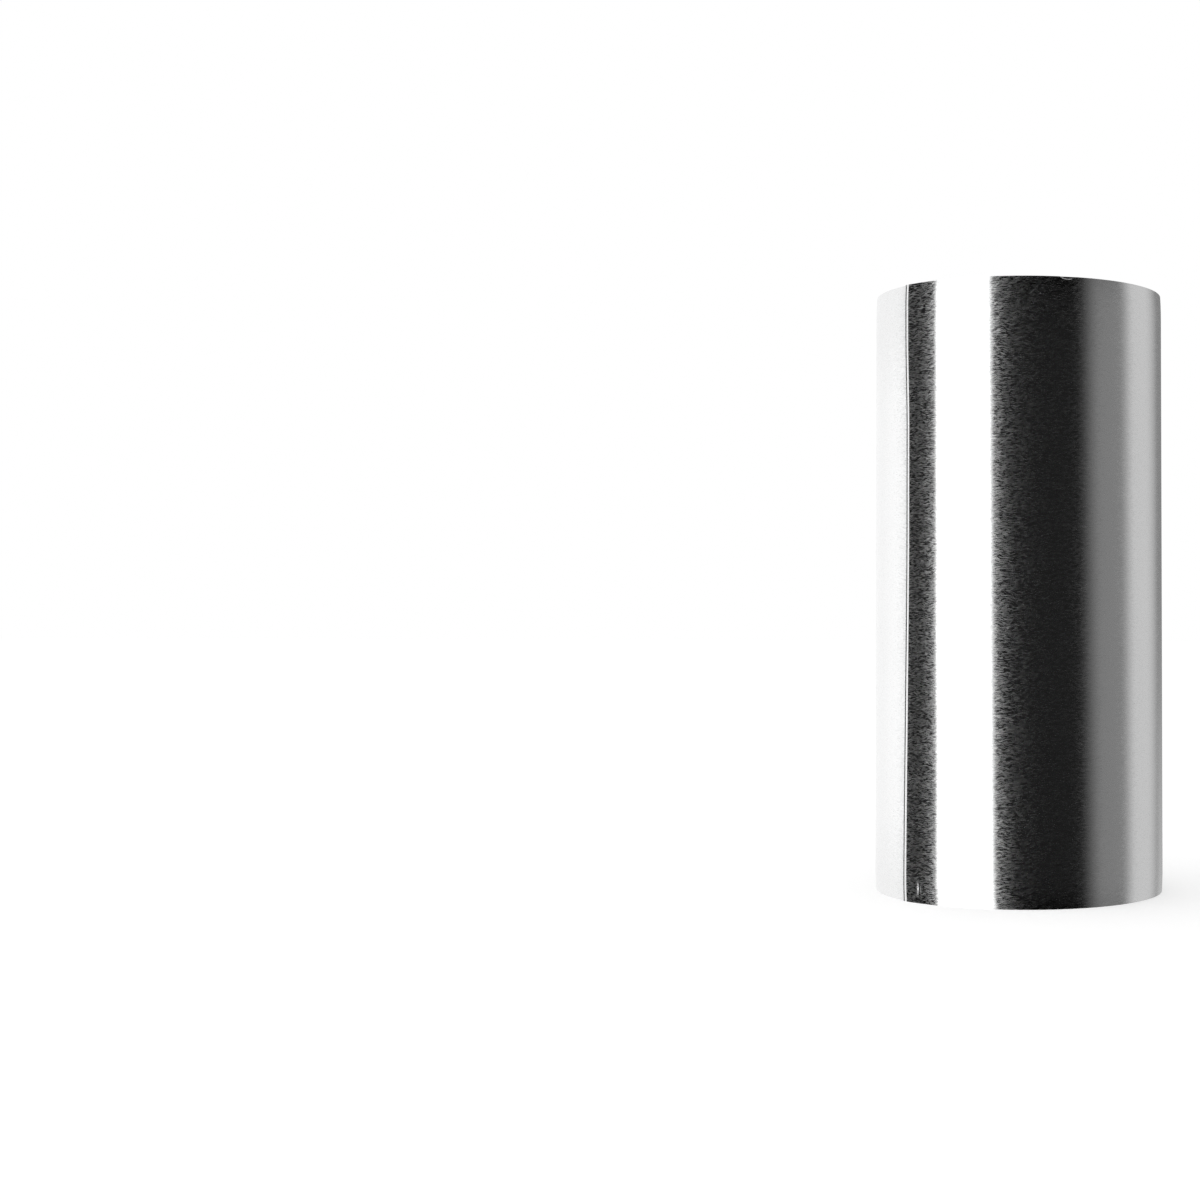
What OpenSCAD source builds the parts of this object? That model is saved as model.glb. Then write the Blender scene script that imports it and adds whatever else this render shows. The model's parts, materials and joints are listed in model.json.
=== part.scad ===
// A narrow roll of aluminium foil, wound on a cardboard tube and standing on its end.
// Millimetres. The roll's axis is +Z, the end that it stands on is at z = 0, and -Y is its front.
// Seen from above, the foil winds outwards clockwise, so its free edge faces left.

/* [Foil] */
// Width of the foil, which is the height of the roll as it stands
foil_w = 100; // [60:1:300]
// Length of foil on the roll, unrolled
foil_len = 50000; // [25000:1000:80000]
// Thickness of the foil
foil_t = 0.02; // [0.014:0.001:0.03]
// Air between the turns, as a percentage of the foil's thickness
air_percent = 2; // [0:0.5:10]

/* [Turns at the ends] */
// How many turns each ridge of the spiral at the ends stands for
ridge_turns = 24; // [20:1:36]
// Radial width of the groove between two ridges
groove_w = 0.2; // [0.1:0.01:0.25]
// How far the ridges stand out of each end face
ridge_h = 0.12; // [0.05:0.01:0.3]
// Width of the plain band at the outer rim and at the tube, where no groove runs
plain_band = 0.6; // [0.4:0.1:1]

/* [Free edge] */
// Where the free edge lies, anticlockwise from +X as seen from above
tail_angle = 223; // [0:1:359]
// How far round the roll the last turn has sprung loose
tail_loose = 40; // [25:1:80]
// Gap between the free edge and the turn below it
tail_gap = 0.25; // [0.1:0.01:0.6]
// Thickness of the loose last turn, with the layers that cling to it
tail_t = 0.1; // [0.06:0.01:0.2]

/* [Cardboard tube] */
// Bore of the tube, which runs on a dispenser's spindle
core_bore = 30; // [15:0.5:34]
// Wall of the tube
core_wall = 1.2; // [0.8:0.1:2.5]
// How far each end of the tube sits inside the roll's end face
core_inset = 0.3; // [0.1:0.1:0.9]
// Glue line between the tube and the first turn
core_glue = 0.03; // [0.01:0.01:0.1]

/* [Hidden] */
// Facets of the large curves, as previewed
$fn = 144;
// How far a cutting shape runs past the face that it cuts
cut = 1;
// How deep in the roll the loose turn's arc starts, so that it leaves the roll with no seam
tail_bury = 0.05;

core_r = core_bore / 2 + core_wall;
hollow_r = core_r + core_glue;

// The roll is as thick as its length of foil needs: seen from its end, the ring of turns
// has the area of the foil's edge
turn_t = foil_t * (1 + air_percent / 100);
roll_r = sqrt(pow(hollow_r, 2) + foil_len * turn_t / PI);

// The spiral groove grows by half a pitch each half turn, from the first band to the last
half_pitch = ridge_turns * turn_t / 2;
groove_start_r = hollow_r + plain_band + groove_w / 2;
groove_end_r = roll_r - plain_band - groove_w / 2 - half_pitch;
half_turns = floor((groove_end_r - groove_start_r) / half_pitch);

// The loose turn's arc: its centre lies behind the point where it leaves the roll
tail_rise = tail_gap + tail_t + tail_bury;
tail_shift = tail_rise / (1 - cos(tail_loose));
tail_r = roll_r - tail_bury + tail_shift;

// Half of a flat ring, on the side where y is positive
module half_ring(r, w) {
    intersection() {
        difference() {
            circle(r + w / 2);
            circle(r - w / 2);
        }
        translate([-r - w, 0])
            square([2 * (r + w), r + w]);
    }
}

// One spiral groove, seen from above: half rings struck from two centres by turns,
// half a pitch apart, so each half ring starts where the last one ended
module groove_outline() {
    for (i = [0 : half_turns])
        translate([i % 2 * half_pitch, 0])
            rotate(i % 2 == 0 ? 180 : 0)
                half_ring(groove_start_r + i * half_pitch, groove_w);
}

// The loose stretch of the last turn, with its free edge on +X
module tail_outline() {
    reach = 2 * roll_r;
    intersection() {
        translate(-tail_shift * [cos(tail_loose), sin(tail_loose)])
            difference() {
                circle(tail_r);
                circle(tail_r - tail_t);
            }
        polygon([
            [0, 0],
            [reach, 0],
            reach * [cos(tail_loose / 2), sin(tail_loose / 2)],
            reach * [cos(tail_loose), sin(tail_loose)]
        ]);
    }
}

// The wound foil seen from its end: the tight turns, the loose one and the hollow for the tube
module winding_outline() {
    difference() {
        union() {
            circle(roll_r);
            rotate(tail_angle)
                tail_outline();
        }
        circle(hollow_r);
    }
}

// All the turns of the foil, with the spiral that they show at both ends
module foil() {
    color([0.83, 0.84, 0.85])
        difference() {
            linear_extrude(foil_w)
                winding_outline();
            for (z = [-cut, foil_w - ridge_h])
                translate([0, 0, z])
                    linear_extrude(cut + ridge_h)
                        rotate(tail_angle)
                            groove_outline();
        }
}

// The cardboard tube that the foil is wound on
module core() {
    color([0.62, 0.5, 0.36])
        translate([0, 0, core_inset])
            difference() {
                cylinder(r = core_r, h = foil_w - 2 * core_inset);
                translate([0, 0, -cut])
                    cylinder(d = core_bore, h = foil_w - 2 * core_inset + 2 * cut);
            }
}

foil();
core();
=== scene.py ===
import json
import math
import bpy
from mathutils import Matrix, Vector, noise


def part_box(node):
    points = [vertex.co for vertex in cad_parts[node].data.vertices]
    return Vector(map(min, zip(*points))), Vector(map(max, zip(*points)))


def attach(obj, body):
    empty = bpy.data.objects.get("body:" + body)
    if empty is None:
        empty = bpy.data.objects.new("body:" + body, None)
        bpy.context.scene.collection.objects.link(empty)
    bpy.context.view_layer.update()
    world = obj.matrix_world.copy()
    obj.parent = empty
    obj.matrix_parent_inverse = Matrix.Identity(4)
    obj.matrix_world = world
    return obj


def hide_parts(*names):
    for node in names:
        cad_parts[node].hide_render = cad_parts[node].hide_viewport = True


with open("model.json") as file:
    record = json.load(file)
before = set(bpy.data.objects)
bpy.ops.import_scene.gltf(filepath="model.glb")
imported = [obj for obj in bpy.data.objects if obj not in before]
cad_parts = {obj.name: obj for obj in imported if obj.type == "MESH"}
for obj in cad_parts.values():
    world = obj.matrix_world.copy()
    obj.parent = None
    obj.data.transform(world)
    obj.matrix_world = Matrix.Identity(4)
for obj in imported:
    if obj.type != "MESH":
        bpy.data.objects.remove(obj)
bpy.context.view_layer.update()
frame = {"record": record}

MM = 1000


def corners(node):
    """The lowest and the highest corner of a CAD node, in millimetres."""
    return [[round(value * MM, 2) for value in corner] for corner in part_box(node)]


# Sizes read from the frame
foil_low, foil_high = corners("foil")
core_low, core_high = corners("core")
FOIL_W = foil_high[2]
CORE_R = core_high[0]
CORE_INSET = core_low[2]
BORE_R = [m["dims"]["r_mm"] for m in frame["record"]["mounts"] if m["name"] == "core_bore"][0]
# The side keeps this far inside the CAD node's box
ROLL_R = foil_high[0] - 0.001

# Sizes that the frame doesn't give, as in the part's source
FOIL_T = 0.02
AIR = 1.02
CORE_GLUE = 0.03
PLAIN_BAND = 0.6
GROOVE_W = 0.2
RIDGE_H = 0.12
RIDGE_TURNS = 24
TAIL_ANGLE = 223.0
TAIL_LOOSE = 40.0
HOLLOW_R = CORE_R + CORE_GLUE
PITCH = RIDGE_TURNS * FOIL_T * AIR
GROOVE_START_R = HOLLOW_R + PLAIN_BAND + GROOVE_W / 2
RIDGES = math.ceil((ROLL_R - PLAIN_BAND - GROOVE_W / 2 - GROOVE_START_R) / PITCH)

# The loose turn: its thickness here, and how far its free edge stands off
TAIL_T = 0.03
TAIL_LIFT = 0.38
# Both rims are pressed in by RIM_DROP, over RIM_W of the height
RIM_W = 4.0
RIM_DROP = 0.12
# The mesh runs on this many degrees beneath the loose turn
UNDER = 36.0
# Marks of handling. Their places and half widths round the roll are in degrees past the free edge
CREASE, CREASE_W = 7.8, 0.85
CREASE_Z, CREASE_H = 2.4, 1.8
CREASE_DEPTH = 0.08
NICK, NICK_W = 66.2, 3.4
NICK_DEPTH = 0.14
NICK_H = 0.5

# Rolling marks on the foil's side: rows per millimetre of height, marks per millimetre round the
# roll, and the most marks by which a row is shifted
MARK_ROWS = 28.0
MARKS_ROUND = 1.8
MARK_SHIFT = 9.0
PLAIN_ROUGHNESS = 0.12
MARK_ROUGHNESS = 0.32

# The camera, solved from the roll's outline in the photo: its place in metres and its turns in
# degrees. It stands by the middle of the roll's height and looks slightly up.
CAMERA_PLACE = (0, -0.3245584, 0.0462906)
CAMERA_YAW = -3.198
CAMERA_PITCH = 1.8789
CAMERA_ROLL = 0.0734
CAMERA_LENS = 57.0625
CAMERA_SHIFT = (-0.26, -0.04)


def smooth(low, high, x):
    """0 at low, 1 at high, with no corner between them; low may be the larger."""
    part = min(max((x - low) / (high - low), 0.0), 1.0)
    return part * part * (3 - 2 * part)


def wobble(x, y=0.0, z=0.0):
    """Smooth noise from about -1 to 1 that is the same each run."""
    return noise.noise(Vector((x + 0.37, y + 0.61, z + 0.13)))


def uneven(x, y=0.0, z=0.0):
    """The same noise from about 0 to 1."""
    return 0.5 + 0.5 * wobble(x, y, z)


class Shape:
    """The points, in millimetres, and the faces of a mesh while it is made."""

    def __init__(self):
        self.points, self.faces, self.slots = [], [], []

    def point(self, radius, angle, z):
        """Adds a point, with its angle in radians from +X, and gives its number."""
        self.points.append((radius * math.cos(angle), radius * math.sin(angle), z))
        return len(self.points) - 1

    def face(self, numbers, slot=0):
        self.faces.append(numbers)
        self.slots.append(slot)

    def sheet(self, lines, turned=False):
        """Joins each line of points to the next with a strip of faces, which turned faces about."""
        for near, far in zip(lines, lines[1:]):
            for k in range(len(near) - 1):
                if turned:
                    self.face((near[k], near[k + 1], far[k + 1], far[k]))
                else:
                    self.face((near[k], far[k], far[k + 1], near[k + 1]))


def make_object(name, shape, materials, sharp=()):
    """A smooth mesh object from a shape; sharp holds the edges that stay crisp."""
    mesh = bpy.data.meshes.new(name)
    mesh.from_pydata([(x / MM, y / MM, z / MM) for x, y, z in shape.points], [], shape.faces)
    for material in materials:
        mesh.materials.append(material)
    mesh.polygons.foreach_set("use_smooth", [True] * len(mesh.polygons))
    mesh.polygons.foreach_set("material_index", shape.slots)
    if sharp:
        for edge in mesh.edges:
            edge.use_edge_sharp = tuple(sorted(edge.vertices)) in sharp
    mesh.validate()
    mesh.update()
    obj = bpy.data.objects.new(name, mesh)
    bpy.context.scene.collection.objects.link(obj)
    return obj


class Nodes:
    """Short calls for making and joining a material's nodes."""

    def __init__(self, tree):
        self.tree = tree
        tree.nodes.clear()

    def add(self, kind, **settings):
        node = self.tree.nodes.new(kind)
        for key, value in settings.items():
            setattr(node, key, value)
        return node

    def put(self, node, socket, value):
        """Joins an output to a node's input, or sets the input to a plain value."""
        target = node.inputs[socket]
        if isinstance(value, bpy.types.NodeSocket):
            self.tree.links.new(value, target)
        else:
            target.default_value = value

    def fill(self, node, values):
        """Puts the values into the node's first inputs."""
        for i, value in enumerate(values):
            self.put(node, i, value)
        return node

    def math(self, operation, *values, clamp=False):
        node = self.add("ShaderNodeMath", operation=operation, use_clamp=clamp)
        return self.fill(node, values).outputs[0]

    def vector(self, operation, *values):
        node = self.add("ShaderNodeVectorMath", operation=operation)
        return self.fill(node, values).outputs[0]

    def scaled(self, place, scale):
        node = self.add("ShaderNodeVectorMath", operation="SCALE")
        self.put(node, "Scale", scale)
        return self.fill(node, [place]).outputs[0]

    def combine(self, x=0.0, y=0.0, z=0.0):
        return self.fill(self.add("ShaderNodeCombineXYZ"), (x, y, z)).outputs[0]

    def separate(self, place):
        return tuple(self.fill(self.add("ShaderNodeSeparateXYZ"), [place]).outputs)

    def noise(self, place, stretch, detail=2.0, rough=0.5, apart=None):
        """Smooth noise from 0 to 1. Its blobs are as small as stretch says, in blobs per
        millimetre along x, y and z, and apart moves it, so that two noises don't match."""
        if apart is not None:
            place = self.vector("ADD", place, apart)
        node = self.add("ShaderNodeTexNoise", noise_dimensions="3D")
        self.put(node, "Vector", self.vector("MULTIPLY", place, stretch))
        self.put(node, "Scale", 1.0)
        self.put(node, "Detail", detail)
        self.put(node, "Roughness", rough)
        return node.outputs["Fac"]

    def chance(self, place, dimensions):
        """A number from 0 to 1 for each place, with nothing smooth between them."""
        node = self.add("ShaderNodeTexWhiteNoise", noise_dimensions=dimensions)
        self.put(node, "W" if dimensions == "1D" else "Vector", place)
        return node.outputs["Value"]

    def span(self, value, low, high, to_low, to_high):
        """Maps low to high smoothly to to_low to to_high, and holds the ends beyond them."""
        node = self.add("ShaderNodeMapRange", interpolation_type="SMOOTHSTEP", clamp=True)
        return self.fill(node, (value, low, high, to_low, to_high)).outputs[0]

    def mix(self, amount, first, second):
        """A colour between two. A mix node's colours are its inputs 6 and 7 and output 2."""
        node = self.add("ShaderNodeMix", data_type="RGBA")
        self.put(node, 0, amount)
        self.put(node, 6, first)
        self.put(node, 7, second)
        return node.outputs[2]

    def bump(self, height, strength, distance):
        """A normal from a height, where distance is in metres."""
        node = self.add("ShaderNodeBump")
        self.put(node, "Strength", strength)
        self.put(node, "Distance", distance)
        self.put(node, "Height", height)
        return node.outputs[0]

    def millimetres(self):
        return self.scaled(self.add("ShaderNodeTexCoord").outputs["Object"], MM)

    def round_roll(self):
        """The direction round the roll."""
        return self.add("ShaderNodeTangent", direction_type="RADIAL", axis="Z").outputs[0]

    def finish(self, shader, kind="Material"):
        """Joins a shader to the output of a material or a world."""
        self.put(self.add("ShaderNodeOutput" + kind), "Surface", shader)


def new_material(name):
    """An empty material and its nodes."""
    material = bpy.data.materials.new(name)
    material.use_nodes = True
    return material, Nodes(material.node_tree)


def new_surface(name):
    """A material, its nodes and its Principled shader, whose inputs are still to be set."""
    material, nodes = new_material(name)
    shader = nodes.add("ShaderNodeBsdfPrincipled")
    nodes.finish(shader.outputs[0])
    return material, nodes, shader


def tilted(nodes, along, up):
    """The surface's normal, tipped by the slopes along (round the roll) and up (its axis)."""
    normal = nodes.add("ShaderNodeNewGeometry").outputs["Normal"]
    tipped = nodes.vector("ADD", normal, nodes.scaled(nodes.round_roll(), along))
    return nodes.vector("NORMALIZE", nodes.vector("ADD", tipped, nodes.scaled((0, 0, 1), up)))


def rolling_marks(nodes, place, rise):
    """A random number from 0 to 1 on each rolling mark. The marks are short bricks laid in rows
    round the roll, and each row starts at a place of its own, so that their ends never line up."""
    x, y, z = nodes.separate(place)
    row = nodes.math("FLOOR", nodes.math("MULTIPLY", nodes.math("ADD", z, rise), MARK_ROWS))
    along = nodes.math("MULTIPLY", nodes.math("ARCTAN2", y, x), ROLL_R * MARKS_ROUND)
    start = nodes.chance(row, "1D")
    mark = nodes.math("FLOOR", nodes.math("MULTIPLY_ADD", start, MARK_SHIFT, along))
    return nodes.chance(nodes.combine(mark, row), "2D")


def scratches(nodes, place):
    """Extra roughness of the slanting scratches at the front of the top rim."""
    x, y, z = nodes.separate(place)
    slant = nodes.combine(nodes.math("ADD", x, z), y, nodes.math("SUBTRACT", x, z))
    scratch = nodes.span(nodes.noise(slant, (0.35, 0.35, 2.6), detail=1.0), 0.52, 0.7, 0.0, 0.09)
    high = nodes.span(z, 86.0, 98.0, 0.0, 1.0)
    front = nodes.span(y, -14.0, -20.0, 0.0, 1.0)
    return nodes.math("MULTIPLY", scratch, nodes.math("MULTIPLY", high, front))


def specks(nodes, place):
    """1 on a few small round specks and 0 between them."""
    cells = nodes.add("ShaderNodeTexVoronoi")
    nodes.put(cells, "Vector", place)
    nodes.put(cells, "Scale", 0.25)
    near = nodes.math("LESS_THAN", cells.outputs["Distance"], 0.028)
    colour = nodes.fill(nodes.add("ShaderNodeSeparateColor"), [cells.outputs["Color"]])
    kept = nodes.math("GREATER_THAN", colour.outputs[0], 0.55)
    return nodes.math("MULTIPLY", near, kept)


def foil_side():
    """Bright rolled foil: a mirror with short rolling marks that run round the roll."""
    material, nodes, shader = new_surface("foil_side")
    place = nodes.millimetres()
    # The marks wander up and down a little, as they do on real foil
    drift = nodes.noise(place, (0.5, 0.5, 0.35), detail=1.0)
    rise = nodes.math("MULTIPLY_ADD", drift, 1.2, -0.6)
    wavy = nodes.vector("ADD", place, nodes.combine(z=rise))
    # The foil isn't quite flat: its slopes are under a degree round the roll and a few degrees up it
    streak = nodes.noise(wavy, (1.0, 1.0, 7.5), detail=1.0)
    along = nodes.math("MULTIPLY", nodes.math("SUBTRACT", streak, 0.5), 0.03)
    lift = nodes.noise(wavy, (0.8, 0.8, 3.6), detail=1.0, apart=(7, 53, 29))
    up = nodes.math("MULTIPLY_ADD", lift, 0.12, -0.06)
    nodes.put(shader, "Normal", tilted(nodes, along, up))
    nodes.put(shader, "Metallic", 1.0)
    tone = nodes.noise(place, (0.05, 0.05, 0.12), detail=3.0)
    colour = nodes.mix(tone, (0.895, 0.896, 0.898, 1), (0.925, 0.926, 0.928, 1))
    nodes.put(shader, "Base Color", colour)
    # Roughness: the rolling marks, and on them soft flecks, hairlines along the axis, scratches
    # and specks
    fleck = nodes.noise(wavy, (0.9, 0.9, 9.0), detail=1.0, apart=(31, 17, 5))
    fleck = nodes.math("SUBTRACT", fleck, 0.5)
    mark = nodes.math("MULTIPLY_ADD", fleck, 0.15, rolling_marks(nodes, place, rise))
    rough = nodes.span(mark, 0.49, 0.86, PLAIN_ROUGHNESS, MARK_ROUGHNESS)
    hair = nodes.math("SUBTRACT", nodes.noise(place, (3.2, 3.2, 0.02)), 0.5)
    rough = nodes.math("MULTIPLY_ADD", hair, 0.03, rough)
    rough = nodes.math("ADD", scratches(nodes, place), rough)
    rough = nodes.math("MULTIPLY_ADD", specks(nodes, place), 0.35, rough, clamp=True)
    nodes.put(shader, "Roughness", rough)
    nodes.put(shader, "Anisotropic", 0.4)
    nodes.put(shader, "Anisotropic Rotation", 0.25)
    nodes.put(shader, "Tangent", nodes.round_roll())
    return material


def foil_ends():
    """The cut edges of many turns: satin metal with fine spiral lines."""
    material, nodes, shader = new_surface("foil_ends")
    place = nodes.millimetres()
    x, y = nodes.separate(place)[:2]
    squares = nodes.math("ADD", nodes.math("MULTIPLY", x, x), nodes.math("MULTIPLY", y, y))
    radius = nodes.math("SQRT", squares)
    # The lines drift outwards by 0.1 mm a turn
    turn = nodes.math("MULTIPLY", nodes.math("ARCTAN2", y, x), 0.1 / (2 * math.pi))
    spiral = nodes.combine(nodes.math("ADD", radius, turn))
    fine = nodes.noise(spiral, (7.0, 1.0, 1.0), detail=3.0, rough=0.7)
    patch = nodes.noise(place, (0.35, 0.35, 0.35), detail=3.0)
    grain = nodes.math("ADD", fine, nodes.math("MULTIPLY", patch, 0.5))
    nodes.put(shader, "Normal", nodes.bump(grain, 0.7, 0.00005))
    nodes.put(shader, "Metallic", 1.0)
    light = nodes.span(fine, 0.35, 0.65, 0, 1)
    colour = nodes.mix(light, (0.42, 0.422, 0.425, 1), (0.86, 0.862, 0.865, 1))
    nodes.put(shader, "Base Color", colour)
    nodes.put(shader, "Roughness", nodes.span(patch, 0.3, 0.7, 0.3, 0.46))
    nodes.put(shader, "Anisotropic", 0.7)
    nodes.put(shader, "Tangent", nodes.round_roll())
    return material


def core_board():
    """Grey-brown tube board with fibres and dark specks."""
    material, nodes, shader = new_surface("core_board")
    place = nodes.millimetres()
    cloud = nodes.noise(place, (0.12, 0.12, 0.12), detail=4.0)
    fibre = nodes.noise(place, (2.2, 2.2, 0.7), detail=4.0, rough=0.7)
    speck = nodes.noise(place, (5.0, 5.0, 5.0), detail=1.0)
    colour = nodes.mix(cloud, (0.4, 0.3, 0.205, 1), (0.53, 0.41, 0.29, 1))
    colour = nodes.mix(nodes.span(fibre, 0.42, 0.68, 0.0, 0.55), colour, (0.6, 0.49, 0.36, 1))
    colour = nodes.mix(nodes.span(speck, 0.66, 0.74, 0.0, 0.7), colour, (0.22, 0.16, 0.11, 1))
    nodes.put(shader, "Base Color", colour)
    nodes.put(shader, "Roughness", nodes.span(fibre, 0.3, 0.7, 0.78, 0.95))
    height = nodes.math("ADD", fibre, nodes.math("MULTIPLY", cloud, 0.6))
    nodes.put(shader, "Normal", nodes.bump(height, 0.6, 0.00008))
    return material


# The foil's side, as a radius for each place. A place on it is given by how many degrees it lies
# past the free edge, anticlockwise, and by its height z. It lies more than 360 degrees past the
# edge where the last turn covers the one below it.
def side_radius(past, z):
    radius = ROLL_R - TAIL_T * past / 360
    if past < TAIL_LOOSE:
        away = 1 - past / TAIL_LOOSE
        radius += (TAIL_LIFT + 0.03 * wobble(z / 22)) * away ** 3
        radius -= lip_drop(math.radians(past) * ROLL_R)
    return radius - handling(past, z) - rim_drop(z)


def edge_shift(past, z):
    """How far round the roll, in degrees, the loose stretch is pulled from its straight place."""
    away = max(0.0, 1 - past / TAIL_LOOSE)
    bow = -0.6 - 1.6 * smooth(60, 0, z) - 0.8 * smooth(76, 92, z)
    return away * away * bow


def rim_drop(z):
    """How far the foil is pressed in at both rims, where the turns' edges lie softer."""
    near = max(0.0, 1 - min(z, FOIL_W - z) / RIM_W)
    return RIM_DROP * near * near


def lip_drop(along):
    """How far the free edge is folded in towards the roll, along the foil from its cut."""
    fold = 0.16 * max(0.0, 0.7 - along)
    burr = 0.34 * max(0.0, 0.22 - along)
    return fold - burr


def handling(past, z):
    """Dents of handling: a crease low on the loose turn and a crescent pressed into the top rim."""
    across = (past - CREASE) / CREASE_W
    upward = (z - CREASE_Z) / CREASE_H
    crease = 0.0
    if abs(across) < 3 and abs(upward) < 3:
        crease = CREASE_DEPTH * math.exp(-across * across - upward * upward)
    aside = (past - NICK) / NICK_W
    nick = 0.0
    if abs(aside) < 1:
        foot = FOIL_W - NICK_H + 0.42 * aside * aside
        depth = NICK_DEPTH - 0.05 * aside
        nick = depth * (1 - aside ** 4) * smooth(foot, foot + 0.2, z)
    return crease + nick


def side_heights():
    """Heights of the side's rows, closer together at the rims."""
    rim = [0.0, 0.1, 0.18, 0.26, 0.34, 0.42, 0.5, 0.6, 0.8]
    rim += [1.1, 1.4, 1.8, 2.2, 2.6, 3.0, 3.5, 4.1, 4.8, 5.6]
    middle = [6.6 + 1.6 * i for i in range(55)]
    return rim + [z for z in middle if z < 94.0] + [FOIL_W - z for z in reversed(rim)]


def side_columns():
    """Places of the side's columns in degrees past the free edge, closer by the marks."""
    places = {1.5 * i for i in range(240)}
    places |= {0.2, 0.45, 0.7, 0.82, 1.1, 1.35, 1.6, 1.72, 2.0, 2.5}
    places |= {CREASE + 0.2 * i for i in range(-7, 8)}
    places |= {NICK + 0.45 * i for i in range(-8, 9)}
    return sorted(round(past, 3) for past in places)


# Lines of points follow the spiral on the end faces, so that each groove keeps to its own lines.
# A line is given by its distance aside from the middle of its groove, and a point of it by
# how many turns of the spiral lie inside it.
LINES_ASIDE = [-0.245, -0.17, -0.12, -0.08, 0.0, 0.08, 0.12, 0.17]
# The lines start this many turns before the groove, beside the hollow
SPIRAL_START = -0.5


def spiral_radius(turns):
    """Radius of the spiral's lines, which are squeezed together before the groove starts."""
    if turns >= SPIRAL_START:
        return GROOVE_START_R + PITCH * turns
    inside = HOLLOW_R + 0.006
    return inside + (turns - SPIRAL_START + 1) * (GROOVE_START_R - PITCH / 2 - inside)


def end_drop(turns, aside):
    """How far the end face lies below the rim: the groove, and turns that stand unevenly."""
    place = turns - aside / PITCH
    fade = smooth(0.0, 0.05, place) * (1 - smooth(RIDGES - 1.06, RIDGES - 1.0, place))
    wall = smooth(GROOVE_W / 2 - 0.025, GROOVE_W / 2 + 0.025, abs(aside))
    step = 0.035 * uneven(turns * 0.9, 3.1) + 0.012 * uneven(turns * 3.7, 9.4)
    step *= smooth(-1.2, 0.2, turns) * (1 - smooth(RIDGES - 0.9, RIDGES - 0.5, turns))
    return 0.003 + step + RIDGE_H * fade * (1 - wall)


def spiral_lines(past):
    """Where each line crosses a column, from the hollow out, as pairs of turns and aside. The
    first column has the lines of one more turn, which the last column's run into."""
    done = past / 360
    lines = []
    for ridge in range(-1 if past == 0 else 0, RIDGES):
        lines += [(ridge - done + aside / PITCH, aside) for aside in LINES_ASIDE]
    last_aside = -LINES_ASIDE[0]
    lines.append((RIDGES - 1 - done + last_aside / PITCH, last_aside))
    return lines[1:] if past == 0 else lines


SIDE_SLOT, END_SLOT = 0, 1


def end_face(shape, hollow, spiral, rim, under, facing_up):
    """Joins the hollow's edge, the spiral's lines and the rim, from each column to the next."""
    count = len(spiral)
    for j in range(count):
        near, far = spiral[j], spiral[(j + 1) % count]
        # The first column's points of the extra turn belong to the last column's lines
        extra = len(LINES_ASIDE) - 1 if j == 0 else 0
        matched = len(near) - extra
        loops = [[hollow[j]] + near[: extra + 1] + [far[0], hollow[(j + 1) % count]]]
        for k in range(matched - 1):
            loops.append([near[extra + k], near[extra + k + 1], far[k + 1], far[k]])
        # Beneath the loose stretch the end face reaches only to the turn below it
        near_rim = [rim[j + count]] if j <= under else []
        if j >= under:
            near_rim.append(rim[j])
        far_rim = rim[j + 1 + count] if j < under else rim[j + 1]
        loops.append([near[-1]] + near_rim + [far_rim] + far[: matched - 2 : -1])
        for loop in loops:
            shape.face(loop if facing_up else loop[::-1], END_SLOT)


def foil_shape():
    """The wound foil, closed all round, and the edges of it that stay crisp."""
    shape = Shape()
    places, heights = side_columns(), side_heights()
    count, last = len(places), len(heights) - 1
    under = places.index(UNDER)

    def point(radius, past, z):
        return shape.point(radius, math.radians(TAIL_ANGLE + past + edge_shift(past, z)), z)

    # The side, from the free edge once round and on beneath the loose stretch
    side = []
    for past in places + [360 + past for past in places[: under + 1]]:
        side.append([point(side_radius(past, z), past, z) for z in heights])
    # The inner face of the loose stretch, which meets the turn below at its end
    inner = []
    for past in places[:under]:
        inner.append([point(side_radius(past, z) - TAIL_T, past, z) for z in heights])
    inner.append(side[count + under])
    shape.sheet(side)
    shape.sheet([side[0]] + inner, turned=True)
    for j in range(under):
        outside, inside = side[j : j + 2], inner[j : j + 2]
        shape.face((outside[0][last], outside[1][last], inside[1][last], inside[0][last]), END_SLOT)
        shape.face((outside[0][0], inside[0][0], inside[1][0], outside[1][0]), END_SLOT)

    hollows = []
    for row, inward in ((0, 1), (last, -1)):
        level = heights[row]
        hollow = [point(HOLLOW_R, past, level + inward * 0.02) for past in places]
        spiral = []
        for past in places:
            column = []
            for turns, aside in spiral_lines(past):
                z = level + inward * end_drop(turns, aside)
                column.append(point(spiral_radius(turns), past, z))
            spiral.append(column)
        end_face(shape, hollow, spiral, [column[row] for column in side], under, row == last)
        hollows.append(hollow)
    low, high = hollows
    for j in range(count):
        after = (j + 1) % count
        shape.face((low[j], high[j], high[after], low[after]), END_SLOT)

    sharp = set()
    for lines in (side, inner):
        for near, far in zip(lines, lines[1:]):
            for row in (0, last):
                sharp.add(tuple(sorted((near[row], far[row]))))
    return shape, sharp


shape, sharp = foil_shape()
foil = make_object("foil_roll", shape, [foil_side(), foil_ends()], sharp)
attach(foil, "root")
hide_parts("foil")


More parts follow.
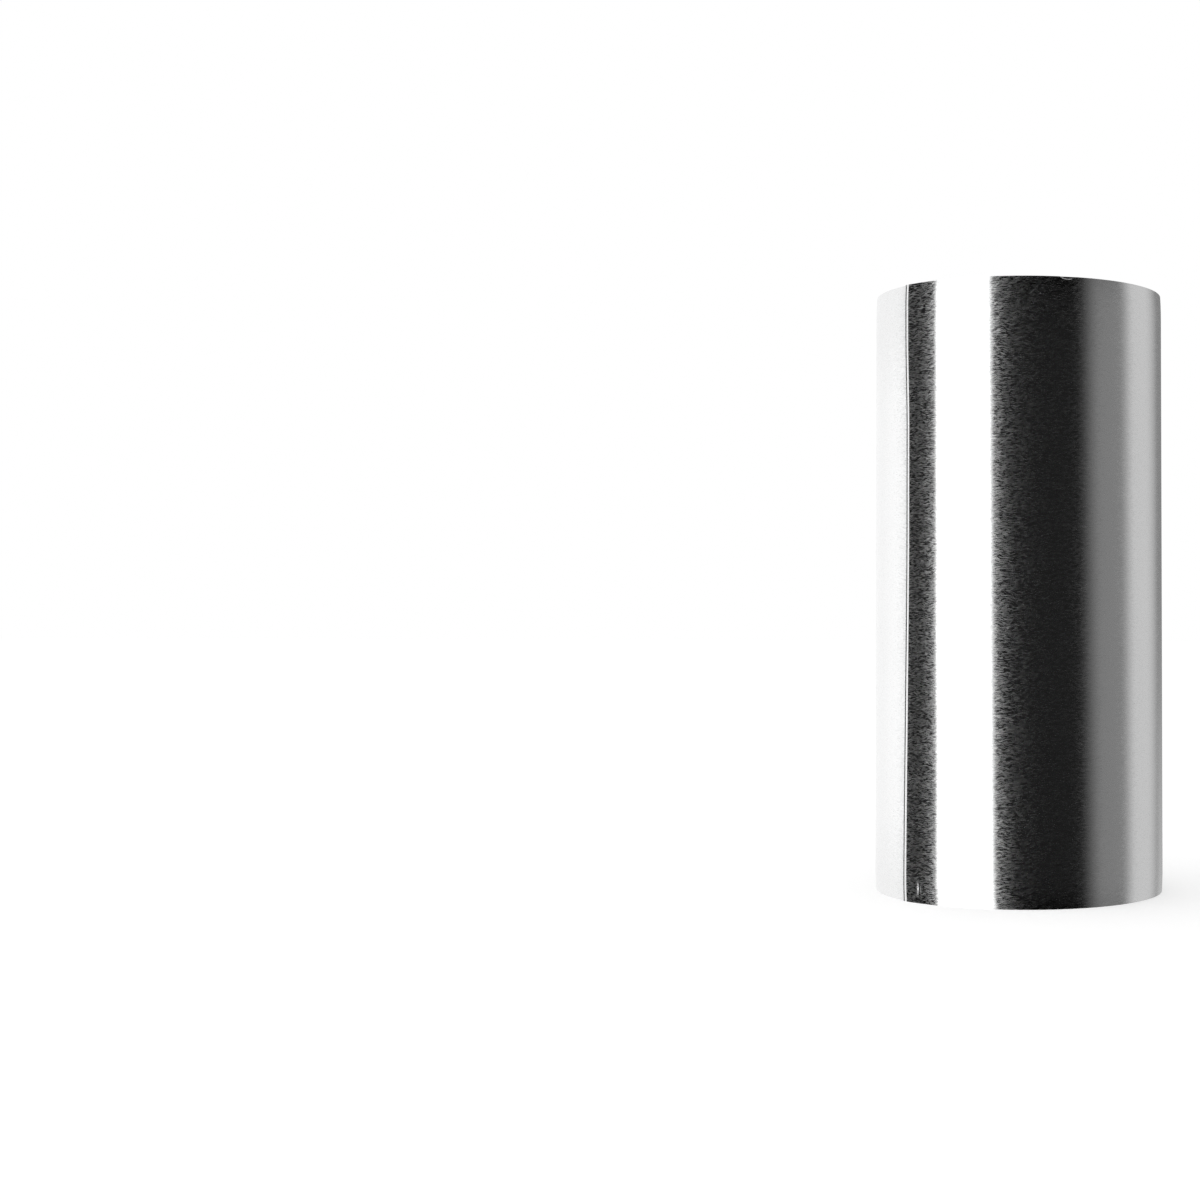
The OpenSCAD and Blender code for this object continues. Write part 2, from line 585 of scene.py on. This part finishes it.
def core_shape():
    """The tube: its plies show as fine steps on the cut ends, and a seam winds up its bore."""
    columns, rows = 180, 90
    # Height in which the seam winds once round
    lead = 62.0
    bevel = 0.06
    low, high = CORE_INSET, FOIL_W - CORE_INSET
    # Radii across a cut end, and how deep the joint between two plies lies in it
    steps = [(BORE_R, 0.0), (BORE_R + 0.05, 0.0)]
    for joint, depth in ((0.31, 0.05), (0.61, 0.06), (0.91, 0.05)):
        steps += [(BORE_R + joint - 0.03, 0.0), (BORE_R + joint, depth), (BORE_R + joint + 0.03, 0.0)]
    steps.append((CORE_R - 0.04, 0.0))

    def rough_cut(radius, angle):
        coarse = uneven(radius * 2.3, angle * 9.0, 4.0)
        fine = uneven(radius * 7.0, angle * 31.0, 8.0)
        return 0.03 * coarse + 0.012 * fine

    def bore_radius(angle, z):
        phase = (angle / (2 * math.pi) + z / lead) % 1.0
        miss = min(phase, 1 - phase) * 2 * math.pi * BORE_R
        seam = 0.12 * (1 - smooth(0.15, 0.55, miss))
        inside = smooth(0, 1.5, z - low) * smooth(0, 1.5, high - z)
        return BORE_R + (seam + 0.02 * uneven(angle * 4, z / 9)) * inside

    shape = Shape()
    rings = []
    for j in range(columns):
        angle = 2 * math.pi * j / columns
        ring = [shape.point(r, angle, high - depth - rough_cut(r, angle)) for r, depth in steps]
        ring += [shape.point(CORE_R, angle, z) for z in (high - bevel, low + bevel)]
        for r, depth in reversed(steps):
            ring.append(shape.point(r, angle, low + depth + rough_cut(r, angle + 40)))
        for k in range(1, rows):
            z = low + (high - low) * k / rows
            ring.append(shape.point(bore_radius(angle, z), angle, z))
        rings.append(ring)
    closed = [ring + ring[:1] for ring in rings]
    shape.sheet(closed + closed[:1], turned=True)
    return shape


core = make_object("core_tube", core_shape(), [core_board()])
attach(core, "root")
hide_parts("core")


# The studio. The cards stand round the roll for its mirror finish alone: they light nothing else
# and no view sees them. Angles are in degrees from the front, -Y, towards +X.
def card_material():
    """Light of the strength that a card's points hold, and clear where they hold no cover."""
    material, nodes = new_material("studio_card")
    cover = nodes.add("ShaderNodeAttribute", attribute_name="cover").outputs["Fac"]
    level = nodes.add("ShaderNodeAttribute", attribute_name="level").outputs["Fac"]
    glow = nodes.add("ShaderNodeEmission")
    nodes.put(glow, "Strength", level)
    clear = nodes.add("ShaderNodeBsdfTransparent")
    both = nodes.fill(nodes.add("ShaderNodeMixShader"), (cover, clear.outputs[0], glow.outputs[0]))
    nodes.finish(both.outputs[0])
    return material


CARD = card_material()
CARD_ROWS = [-1600, -500, -200, -110, -92, -74, -56, -38, -20, 0, 20, 40, 60, 100]
CARD_ROWS += [120, 138, 156, 174, 192, 210, 300, 500, 1700]
# Degrees from one column of a card to the next
CARD_STEP = 0.75
# A side leans by its whole angle over this height
LEAN_H = 200
# A card's light changes to its low level between these heights
LOW_FADE = (-60, 60)


def studio_card(
    name, radius, start, stop, soft, level, low_level=None, lean=(0, 0), far=1.0, fade=(86, 136)
):
    """An upright curved card between two angles, whose two sides fade out over the soft angles.

    level is its light, low_level its light below the roll, and far the share that is left of both
    beyond the fade, in millimetres above and below the roll's middle. lean slants the two sides.
    """
    middle = FOIL_W / 2
    foot = level if low_level is None else low_level
    first = start - soft[0] / 2 - abs(lean[0])
    final = stop + soft[1] / 2 + abs(lean[1])
    steps = max(8, round((final - first) / CARD_STEP))
    shape, lines, covers, levels = Shape(), [], [], []
    for i in range(steps + 1):
        angle = first + (final - first) * i / steps
        lines.append([shape.point(radius, math.radians(angle - 90), z) for z in CARD_ROWS])
        for z in CARD_ROWS:
            tilt = min(max((z - middle) / LEAN_H, -1), 1)
            fade_in = smooth(start - soft[0] / 2, start + soft[0] / 2, angle - lean[0] * tilt)
            fade_out = smooth(stop - soft[1] / 2, stop + soft[1] / 2, angle - lean[1] * tilt)
            covers.append(fade_in * (1 - fade_out))
            dim = 1 - (1 - far) * smooth(*fade, abs(z - middle))
            levels.append((foot + (level - foot) * smooth(*LOW_FADE, z)) * dim)
    shape.sheet(lines)
    card = make_object(name, shape, [CARD])
    for key, values in (("cover", covers), ("level", levels)):
        layer = card.data.attributes.new(key, "FLOAT", "POINT")
        layer.data.foreach_set("value", values)
    for sight in ("camera", "diffuse", "transmission", "volume_scatter", "shadow"):
        setattr(card, "visible_" + sight, False)


studio_card("flag_front", 320, -95, 110, (1.5, 4), 0.012, far=0.1)
studio_card("back_card", 330, -182, -93, (1, 2), 0.99, far=0.95, fade=(70, 88))
studio_card("back_edge", 325, -125, -93, (30, 2), 1.07, far=0.9, fade=(70, 88))
studio_card("key_softbox", 300, -62.3, -19.5, (1, 3.5), 1.75, lean=(-1.2, -2.9))
studio_card("side_panel", 290, 56.4, 178, (21, 4), 0.213, lean=(-2.4, -2.4), far=0.72)
studio_card("rear_panel", 280, 93.1, 133.8, (18, 32), 0.59, lean=(-2.4, -2.4))
studio_card("low_panel", 270, 142, 178, (14, 4), 0.23, 0.5)


def make_floor():
    """A pale floor, which the camera sees lighter than its grey, and which keeps its shadow."""
    material, nodes = new_material("floor")
    rays = nodes.add("ShaderNodeLightPath")
    lit = nodes.add("ShaderNodeBsdfDiffuse")
    nodes.put(lit, "Color", (0.62, 0.62, 0.62, 1))
    glow = nodes.add("ShaderNodeEmission")
    nodes.put(glow, "Strength", nodes.math("MULTIPLY", rays.outputs["Is Camera Ray"], 0.45))
    both = nodes.fill(nodes.add("ShaderNodeAddShader"), (lit.outputs[0], glow.outputs[0]))
    nodes.finish(both.outputs[0])
    half = 3000
    shape = Shape()
    shape.points = [(-half, -half, 0), (half, -half, 0), (half, half, 0), (-half, half, 0)]
    shape.face((0, 1, 2, 3))
    floor = make_object("floor", shape, [material])
    floor.visible_glossy = False


def make_world():
    """White surroundings: a strength of 1 where they are seen, and 0.9 as light."""
    world = bpy.data.worlds.new("studio")
    bpy.context.scene.world = world
    world.use_nodes = True
    nodes = Nodes(world.node_tree)
    rays = nodes.add("ShaderNodeLightPath").outputs
    seen = nodes.math("ADD", rays["Is Camera Ray"], rays["Is Glossy Ray"])
    seen = nodes.math("ADD", seen, rays["Is Transmission Ray"], clamp=True)
    sky = nodes.add("ShaderNodeBackground")
    nodes.put(sky, "Color", (1, 1, 1, 1))
    nodes.put(sky, "Strength", nodes.math("MULTIPLY_ADD", seen, 0.1, 0.9))
    nodes.finish(sky.outputs[0], "World")


def make_lamp():
    """One large soft lamp above the front left of the roll, aimed at its foot."""
    lamp = bpy.data.lights.new("overhead", "AREA")
    lamp.shape = "SQUARE"
    lamp.size = 0.7
    lamp.energy = 0.6
    overhead = bpy.data.objects.new("overhead", lamp)
    overhead.location = (-0.12, -0.18, 0.62)
    overhead.rotation_euler = Vector(overhead.location).to_track_quat("Z", "Y").to_euler()
    bpy.context.scene.collection.objects.link(overhead)


def make_camera():
    """The photo's camera. Its yaw turns it from +Y towards +X, and its pitch lifts its view."""
    data = bpy.data.cameras.new("camera")
    data.sensor_width = 36
    data.lens = CAMERA_LENS
    data.shift_x, data.shift_y = CAMERA_SHIFT
    data.clip_start = 0.01
    data.clip_end = 20
    yaw, pitch, roll = (math.radians(a) for a in (CAMERA_YAW, CAMERA_PITCH, CAMERA_ROLL))
    level = math.cos(pitch)
    ahead = Vector((math.sin(yaw) * level, math.cos(yaw) * level, math.sin(pitch)))
    right = Vector((math.cos(yaw), -math.sin(yaw), 0))
    up = right.cross(ahead)
    across = math.cos(roll) * right + math.sin(roll) * up
    over = math.cos(roll) * up - math.sin(roll) * right
    turn = Matrix((across, over, -ahead)).transposed().to_4x4()
    camera = bpy.data.objects.new("camera", data)
    camera.matrix_world = Matrix.Translation(CAMERA_PLACE) @ turn
    bpy.context.scene.collection.objects.link(camera)
    bpy.context.scene.camera = camera


make_floor()
make_world()
make_lamp()
make_camera()
bpy.context.scene.view_settings.view_transform = "Standard"
